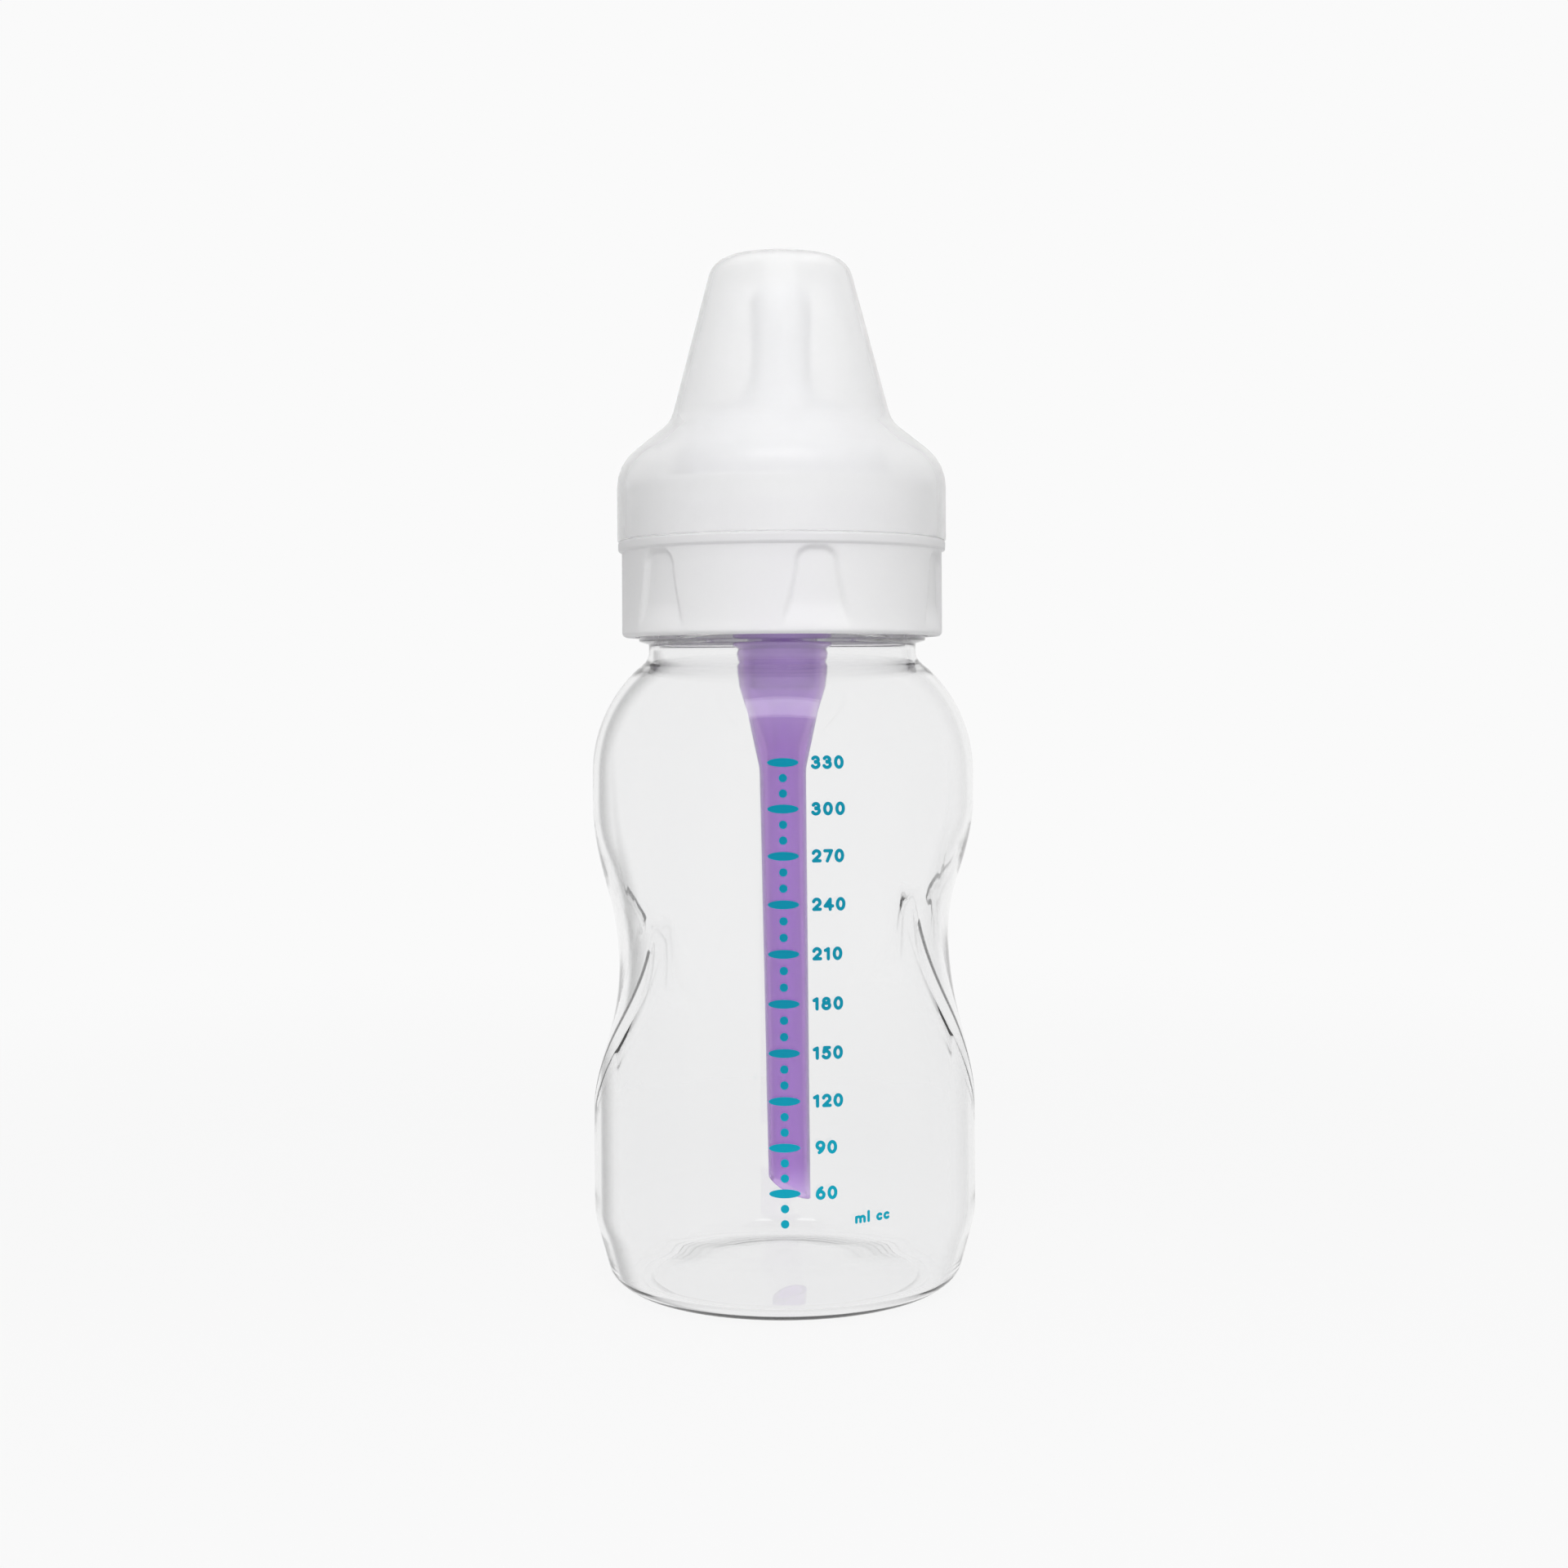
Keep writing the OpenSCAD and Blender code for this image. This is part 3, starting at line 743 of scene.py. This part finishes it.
def oval(x, z, half_l, half_h, n=40):
    """A flat oval as its points and triangles."""
    points = [(x, z)]
    for share in (0.5, 1):
        points += [(x + share * half_l * math.cos(TURN * k / n),
                    z + share * half_h * math.sin(TURN * k / n)) for k in range(n)]
    triangles = []
    for k in range(n):
        m = (k + 1) % n
        triangles.append((0, 1 + k, 1 + m))
        triangles += [(1 + k, 1 + n + k, 1 + n + m), (1 + k, 1 + n + m, 1 + m)]
    return points, triangles


def curve(x, y, rx, ry, start, end, n=16):
    """Points along part of an ellipse, with angles in degrees."""
    a = np.radians(np.linspace(start, end, n + 1))
    return np.stack([x + rx * np.cos(a), y + ry * np.sin(a)], axis=1)


def line(*points):
    return np.array(points, float)


def characters():
    """Each character's advance and the centre lines of its strokes, in shares of a digit's height."""
    nought = curve(0.37, 0.5, 0.25, 0.38, 0, 360, 28)
    six = [curve(0.37, 0.36, 0.25, 0.24, 0, 360, 24),
           line((0.12, 0.38), (0.16, 0.58), (0.28, 0.76), (0.46, 0.88))]
    arch = curve(0.3, 0.4, 0.2, 0.18, 180, 0, 10)
    return {
        "0": (0.84, [nought]),
        "1": (0.58, [line((0.12, 0.74), (0.34, 0.86), (0.34, 0.12))]),
        "2": (0.78, [np.vstack([curve(0.36, 0.64, 0.24, 0.24, 165, -30),
                                line((0.14, 0.14), (0.62, 0.14))])]),
        "3": (0.78, [curve(0.33, 0.69, 0.21, 0.19, 155, -90),
                     curve(0.33, 0.34, 0.25, 0.22, 90, -155)]),
        "4": (0.84, [line((0.5, 0.12), (0.5, 0.86), (0.12, 0.36), (0.68, 0.36))]),
        "5": (0.78, [line((0.58, 0.87), (0.22, 0.87), (0.17, 0.54)),
                     curve(0.34, 0.37, 0.25, 0.25, 130, -150)]),
        "6": (0.8, six),
        "7": (0.76, [line((0.12, 0.87), (0.62, 0.87), (0.3, 0.12))]),
        "8": (0.82, [curve(0.37, 0.69, 0.2, 0.18, 0, 360, 24),
                     curve(0.37, 0.34, 0.25, 0.22, 0, 360, 24)]),
        "9": (0.8, [np.array([0.74, 1.0]) - part for part in six]),
        "m": (1.12, [line((0.1, 0.1), (0.1, 0.56)), np.vstack([arch, line((0.5, 0.1))]),
                     np.vstack([arch + [0.4, 0], line((0.9, 0.1))])]),
        "l": (0.3, [line((0.1, 0.1), (0.1, 0.94))]),
        "c": (0.66, [curve(0.33, 0.33, 0.23, 0.23, 48, 312)]),
        " ": (0.42, [])}


def word(text, x, z, height, slope=0.0, step=0.1):
    """Bold text as flat points and triangles, on a grid fine enough to bend round the body.
    Its line rises by slope."""
    lines, reach = [], 0
    drawn = characters()
    for letter in text:
        advance, parts = drawn[letter]
        lines += [(part + [reach, 0]) * height for part in parts]
        reach += advance + letter_gap
    half = stroke_half * height
    low = np.min([part.min(axis=0) for part in lines], axis=0) - half - step
    high = np.max([part.max(axis=0) for part in lines], axis=0) + half + step
    columns, rows = (np.arange(low[k], high[k], step) for k in (0, 1))
    grid = np.stack(np.meshgrid(columns, rows), axis=2)
    away = distance_to([pair for part in lines for pair in zip(part[:-1], part[1:])], grid) - half
    points, place, triangles = [], {}, []

    def number(key, point):
        if key not in place:
            place[key] = len(points)
            points.append((x + point[0], z + point[1] + point[0] * slope))
        return place[key]

    for j, i in zip(*np.nonzero(away[:-1, :-1] < 2 * step)):
        ring = [(j, i), (j, i + 1), (j + 1, i + 1), (j + 1, i)]
        cell = []
        for p, q in zip(ring, ring[1:] + ring[:1]):
            if away[p] < 0:
                cell.append(number(p, grid[p]))
            if away[p] * away[q] < 0:
                share = away[p] / (away[p] - away[q])
                cell.append(number(tuple(sorted((p, q))), grid[p] + share * (grid[q] - grid[p])))
        triangles += [(cell[0], cell[k], cell[k + 1]) for k in range(1, len(cell) - 1)]
    return points, triangles


def printed_scale(look):
    ovals = [oval(0, mark_z(i), mark_half_l, mark_half_h) for i in range(marks)]
    ovals += [oval(0, mark_z(i) + (mark_z(i + 1) - mark_z(i)) * k / 3, dot_r, dot_r)
              for i in range(-1, marks - 1) for k in (1, 2)]
    print_on_body("scale_marks", ovals, look, "volume_marks")
    numbers = []
    for i in range(marks):
        text = str(60 + 30 * i)
        x = number_x if len(text) == 3 else short_number_x
        numbers.append(word(text, x, mark_z(i) - number_h / 2, number_h))
    print_on_body("scale_numbers", numbers, look, along=True)
    units = word("ml cc", units_x, units_z, units_h, slope=0.03, step=0.07)
    print_on_body("scale_units", [units], look, along=True)


# ---- Collar ---------------------------------------------------------------------------------

def flute_mask(theta, z):
    """1 inside the bell-shaped flutes of the skirt, 0 outside, with a soft step between."""
    top = ledge_z - ledge_h - 0.4
    foot = skirt_z + 1.2
    part = TURN / flutes
    turn = theta + TURN / 4 - flute_turn
    across = skirt_r * (np.mod(turn + part / 2, part) - part / 2)
    down = np.clip((top - z) / (top - foot), 0, 1)
    half = flute_top + (flute_foot - flute_top) * down**1.7
    dx = np.abs(across) - half + flute_arch
    dz = z - top + flute_arch
    away = np.hypot(np.maximum(dx, 0), np.maximum(dz, 0)) + np.minimum(np.maximum(dx, dz), 0)
    return smoothstep(flute_arch - away, -0.1, 0.75) * smoothstep(z, foot - 0.6, foot + 5)


def collar(look):
    outline = rounded([
        (collar_bore_r, skirt_z + 2, 0), (collar_bore_r, skirt_z, 0.3), (skirt_r, skirt_z, 0.9),
        (skirt_r, ledge_z - ledge_h, 0.25), (ledge_r, ledge_z - ledge_h, 0.5), (ledge_r, ledge_z, 0.5),
        (drum_r, ledge_z, 0.2), (drum_r, plate_top, 0.8), (hole_r, plate_top, 0.6),
        (hole_r, flange_top, 0.1), (seat_r, flange_top, 0), (seat_r, ring_top + 0.2, 0),
        (collar_bore_r, ring_top + 0.2, 0), (collar_bore_r, skirt_z + 3, 0)], 12)
    outline = dense(outline, 0.4, skirt_z + 0.5, ledge_z - ledge_h - 0.1)
    skin = np.abs(outline[:, 0] - skirt_r) < 0.3
    skin &= (outline[:, 1] > skirt_z) & (outline[:, 1] < ledge_z - ledge_h + 0.01)

    def warp(theta, r, z):
        r[skin] -= flute_depth * flute_mask(theta, z[skin])
        return r, z

    return lathe("collar_ring", outline, look, "collar_body", "white_plastic", "collar",
                 columns=432, ring=True, warp=warp, sharp=50)


# ---- Nipple ---------------------------------------------------------------------------------

def nipple_outline(t):
    """Corners of the nipple's dome and tip, drawn in by t, from the foot to the flow hole."""
    base_z = lock_top + dome_h
    top = base_z + tip_h
    w = t * 0.7
    return [(nipple_r - 0.2 - t, lock_top, 0),
            (nipple_r - 2.4 - t * 0.8, lock_top + dome_h * 0.58 - t * 0.5, 9),
            (tip_r + 5.4 - w, base_z - 2.2 - w, 5), (tip_r + 0.6 - t, base_z + 1 - w, 5),
            (tip_r - 0.4 - w, base_z + tip_h * 0.35, 9), (tip_r - w, base_z + tip_h * 0.6, 9),
            (tip_r - w, top - w, tip_r * 0.75 - w), (flow_r, top - w, 0)]


def nipple(look):
    lock_z = plate_top + 0.02
    outer = rounded([(nipple_r - nipple_wall, ring_top, 0), (flange_r, ring_top, 0.3),
                     (flange_r, flange_top, 0.3), (nipple_r, flange_top, 0.3), (nipple_r, lock_z, 0.1),
                     (lock_r, lock_z, 0.3), (lock_r, lock_top, 0.7), *nipple_outline(0)])
    inner = rounded([(nipple_r - nipple_wall, ring_top + 1, 0), *nipple_outline(nipple_wall)])[::-1]
    return lathe("nipple_shell", np.vstack([outer, inner]), look, "nipple_body", "silicone", "nipple",
                 columns=160, ring=True)


# ---- Travel cap -----------------------------------------------------------------------------

def cap_outline(t):
    """Corners of the cap's dome, drawn in by t, from its foot to the axis."""
    side_z = ledge_z + cap_side_h
    cone_z = side_z + cap_shoulder_h
    down = t * 0.55
    return [(cap_r - t, side_z - down, 9), (cap_cone_r - t, cone_z - down, 6),
            (cap_tip_r - t, cap_top - 1 - t, 4.5), (0, cap_top - t, 0)]


def travel_cap(look):
    inner = rounded([(cap_r - cap_wall, ledge_z + 0.3, 0), *cap_outline(cap_wall)])[::-1]
    outer = rounded([(cap_r - cap_wall, ledge_z + 0.3, 0), (cap_r - cap_wall, ledge_z, 0.3),
                     (cap_r, ledge_z, 0.3), *cap_outline(0)], 15)[1:]
    return lathe("travel_cap_dome", np.vstack([inner, outer]), look, "cap_body", "frosted_plastic",
                 "travel_cap", columns=256, sharp=50)


# ---- Vent -----------------------------------------------------------------------------------

def joined(name, meshes, look, body, slot, *nodes):
    """One piece from overlapping closed meshes."""
    first = bpy.data.objects.new(name, meshes[0])
    bpy.context.scene.collection.objects.link(first)
    for k, mesh in enumerate(meshes[1:]):
        other = bpy.data.objects.new(f"{name}_{k}", mesh)
        bpy.context.scene.collection.objects.link(other)
        union = first.modifiers.new("union", "BOOLEAN")
        union.operation = "UNION"
        union.solver = "EXACT"
        union.object = other
        bpy.context.view_layer.update()
        made = first.evaluated_get(bpy.context.evaluated_depsgraph_get())
        made = bpy.data.meshes.new_from_object(made)
        first.modifiers.clear()
        first.data = made
        bpy.data.objects.remove(other)
    mesh = first.data
    bpy.data.objects.remove(first)
    mesh.shade_smooth()
    mesh.set_sharp_from_angle(angle=math.radians(35))
    return piece(name, mesh, look, body, slot, *nodes)


def leant(theta, r, z):
    """The radius r of a tube that leans by tube_lean at its end, seen from the upright axis."""
    aside = tube_lean * np.clip((tube_top_z - z) / (tube_top_z - tube_end_z), 0, 1)
    return aside * np.cos(theta) + np.sqrt(r**2 - (aside * np.sin(theta))**2)


def vent_insert(look):
    ring = rounded([(neck_r - ring_w, rim_z + 0.5, 0), (neck_r - ring_w, rim_z, 0),
                    (rib_r - rib_t, rim_z - rib_h, 0.3), (rib_r, rim_z - rib_h, 0.3), (rib_r, rim_z, 0),
                    (neck_r, rim_z, 0.3), (neck_r, ring_top, 0.3), (neck_r - ring_w, ring_top, 0.3),
                    (neck_r - ring_w, rim_z + 0.6, 0)], 20)
    cavity_r = stem_r - stem_wall
    roof_z = ring_top + boss_h - 1
    hub_r = socket_r + socket_wall
    hub = rounded([(0, roof_z, 0), (cavity_r, roof_z, 0.5), (cavity_r, stem_z, 1),
                   (inner_bore_r, inner_top_z, 1), (inner_bore_r, inner_end_z, 0),
                   (inner_r, inner_end_z, 0), (inner_r, inner_top_z, 1), (stem_r, stem_z, 1),
                   (stem_r, rim_z, 0.3), (socket_r, rim_z, 0), (socket_r, socket_z, 0.2),
                   (hub_r, socket_z, 0.3), (hub_r, ring_top, 0.4),
                   (stem_r + 0.6, ring_top + boss_h, 0.5), (0, ring_top + boss_h, 0)], 10)

    def slanted(theta, r, z):
        cut = inner_end_z + (inner_r + r * np.cos(theta)) * inner_slant
        return leant(theta, r, z), np.where(z < inner_end_z + 0.01, cut, z)

    meshes = [make_mesh("hub", *turned(hub, 64, warp=slanted)[:2])]
    meshes.append(make_mesh("ring", *turned(ring, 128, ring=True)[:2]))
    start, end = hub_r - socket_wall / 2, rib_r - rib_t / 2
    low, high = ring_top - arm_h, ring_top - 0.05
    box = [(x, y, z) for x in (start, end) for y in (-arm_w / 2, arm_w / 2) for z in (low, high)]
    faces = [(0, 1, 3, 2), (4, 6, 7, 5), (0, 4, 5, 1), (2, 3, 7, 6), (0, 2, 6, 4), (1, 5, 7, 3)]
    for k in range(4):
        c, s = math.cos(TURN * k / 4), math.sin(TURN * k / 4)
        meshes.append(make_mesh("arm", [(x * c - y * s, x * s + y * c, z) for x, y, z in box], faces))
    return joined("vent_insert_body", meshes, look, "bottle_body", "violet_plastic", "vent_insert")


def vent_reservoir(look):
    span = cup_r - tube_r
    notch_r = cup_r - cup_notch
    bulge_r = cup_r + cup_bulge
    outline = rounded([
        (tube_end_r, tube_end_z, 0), (tube_r, tube_top_z, 8),
        (tube_r + span * 0.25, tube_top_z + cup_funnel_h * 0.245, 9),
        (tube_r + span * 0.51, tube_top_z + cup_funnel_h * 0.5, 9),
        (tube_r + span * 0.85, tube_top_z + cup_funnel_h * 0.73, 3),
        (notch_r + 0.3, cup_z - 1, 0.6), (notch_r, cup_z + 0.8, 0.3), (bulge_r, cup_z + 2, 0.6),
        (bulge_r, cup_z + 8, 3), (cup_r, cup_z + 13, 3), (cup_r, rim_z, 0.2),
        (cup_r - cup_wall, rim_z, 0.2), (cup_r - cup_wall, cup_z + 2.4, 0.3),
        (notch_r - cup_wall, cup_z + 1.4, 0.3),
        (notch_r - cup_wall, tube_top_z + cup_funnel_h * 0.75, 4),
        (tube_bore_r, tube_top_z + cup_funnel_h * 0.18, 5), (tube_bore_r, tube_end_z, 0)], 6)

    def slanted(theta, r, z):
        cut = tube_end_z + (tube_end_r - r * np.cos(theta)) * tube_slant
        return leant(theta, r, z), np.where(z < tube_end_z + 0.01, cut, z)

    return lathe("vent_reservoir_body", outline, look, "reservoir_body", "violet_plastic",
                 "vent_reservoir", columns=128, ring=True, warp=slanted, sharp=50)


# ---- Surroundings ---------------------------------------------------------------------------

backdrop = 0.956      # the pale grey-white behind the bottle
floor_r = 1200
fade_start = 0.1      # the floor fades into the backdrop from here to fade_end, in metres
fade_end = 0.5
middle_z = 0.11       # of the bottle, in metres, where the lamps point

# Camera, in metres, and in pixels of the photograph, whose side is camera_pixels
camera_at = (0.0003, -0.4155, 0.1135)
camera_roll = math.radians(0.3)
camera_pixels = 1920
focal_pixels = 2655
horizon_row = 838


def seen_directly(tree):
    """1 for camera rays and for rays that glass or gloss sends on."""
    path = tree.nodes.new("ShaderNodeLightPath").outputs
    first = maths(tree, "MAXIMUM", path["Is Camera Ray"], path["Is Glossy Ray"])
    return maths(tree, "MAXIMUM", first, path["Is Transmission Ray"])


def studio():
    world = bpy.data.worlds.new("studio")
    world.use_nodes = True
    bpy.context.scene.world = world
    tree = world.node_tree
    sky = tree.nodes["Background"]
    sky.inputs["Color"].default_value = (1, 1, 1, 1)
    tree.links.new(spread(tree, seen_directly(tree), 0.42, backdrop), sky.inputs["Strength"])


def floor_look():
    look, tree, shader = new_look("floor")
    tree.nodes.remove(shader)
    matt = tree.nodes.new("ShaderNodeBsdfDiffuse")
    matt.inputs["Color"].default_value = (0.9, 0.9, 0.9, 1)
    glow = tree.nodes.new("ShaderNodeEmission")
    glow.inputs["Strength"].default_value = backdrop
    lit = mix_shaders(tree, spread(tree, seen_directly(tree), 0.6, 0.91), matt.outputs["BSDF"],
                      glow.outputs["Emission"])
    place = tree.nodes.new("ShaderNodeTexCoord")
    reach = tree.nodes.new("ShaderNodeVectorMath")
    reach.operation = "LENGTH"
    tree.links.new(place.outputs["Object"], reach.inputs[0])
    clear = tree.nodes.new("ShaderNodeBsdfTransparent")
    faded = mix_shaders(tree, ramp(tree, reach.outputs["Value"], fade_start, fade_end), lit,
                        clear.outputs["BSDF"])
    tree.links.new(faded, tree.nodes["Material Output"].inputs["Surface"])
    return look


def floor():
    """A round floor just under the bottle's foot."""
    n = 96
    angles = [TURN * k / n for k in range(n)]
    points = [(0, 0, 0), *((floor_r * math.cos(a), floor_r * math.sin(a), 0) for a in angles)]
    mesh = make_mesh("floor", points, [(0, 1 + k, 1 + (k + 1) % n) for k in range(n)])
    obj = bpy.data.objects.new("floor", mesh)
    bpy.context.scene.collection.objects.link(obj)
    obj.location.z = -0.0002
    mesh.materials.append(floor_look())


def lamp(name, azimuth, elevation, distance, width, height, watts, mirrored=True):
    """A soft box that faces the bottle's middle. Azimuth 0 is straight in front, 90 is the right."""
    light = bpy.data.lights.new(name, "AREA")
    light.shape = "RECTANGLE"
    light.size, light.size_y = width, height
    light.energy = watts
    obj = bpy.data.objects.new(name, light)
    bpy.context.scene.collection.objects.link(obj)
    a, e = math.radians(azimuth), math.radians(elevation)
    away = Vector((math.sin(a) * math.cos(e), -math.cos(a) * math.cos(e), math.sin(e)))
    obj.location = Vector((0, 0, middle_z)) + away * distance
    obj.rotation_euler = away.to_track_quat("Z", "Y").to_euler()
    obj.visible_glossy = mirrored
    obj.visible_transmission = mirrored


def lights():
    lamp("front_box", -0.7, 55, 0.7, 0.46, 0.2, 0.6)
    lamp("front_fill", 3, 46, 0.9, 0.4, 0.4, 4.5, False)
    lamp("left_box", -75, 30, 0.9, 0.5, 0.8, 0.1, False)
    lamp("right_box", 75, 30, 0.9, 0.5, 0.8, 0.6, False)


def camera():
    data = bpy.data.cameras.new("camera")
    data.sensor_width = 36
    data.lens = data.sensor_width * focal_pixels / camera_pixels
    data.shift_y = horizon_row / camera_pixels - 0.5
    data.clip_start = 0.01
    obj = bpy.data.objects.new("camera", data)
    bpy.context.scene.collection.objects.link(obj)
    obj.location = camera_at
    obj.rotation_euler = (math.pi / 2, camera_roll, 0)
    bpy.context.scene.camera = obj


def main():
    scene = bpy.context.scene
    scene.view_settings.view_transform = "Standard"
    scene.cycles.max_bounces = 32
    scene.cycles.transmission_bounces = 28
    scene.cycles.glossy_bounces = 12
    scene.cycles.transparent_max_bounces = 32
    camera()
    studio()
    floor()
    lights()
    bottle(clear_plastic())
    printed_scale(ink())
    collar(white_plastic())
    nipple(silicone())
    travel_cap(frosted_plastic())
    vent_insert(violet_plastic("violet_insert", (0.76, 0.58, 0.9), (0.8, 0.64, 0.92),
                               (0.7, 0.62, 0.8)))
    vent_reservoir(violet_plastic("violet_reservoir", (0.51, 0.27, 0.71), (0.55, 0.31, 0.75),
                                  (0.36, 0.29, 0.5)))


main()
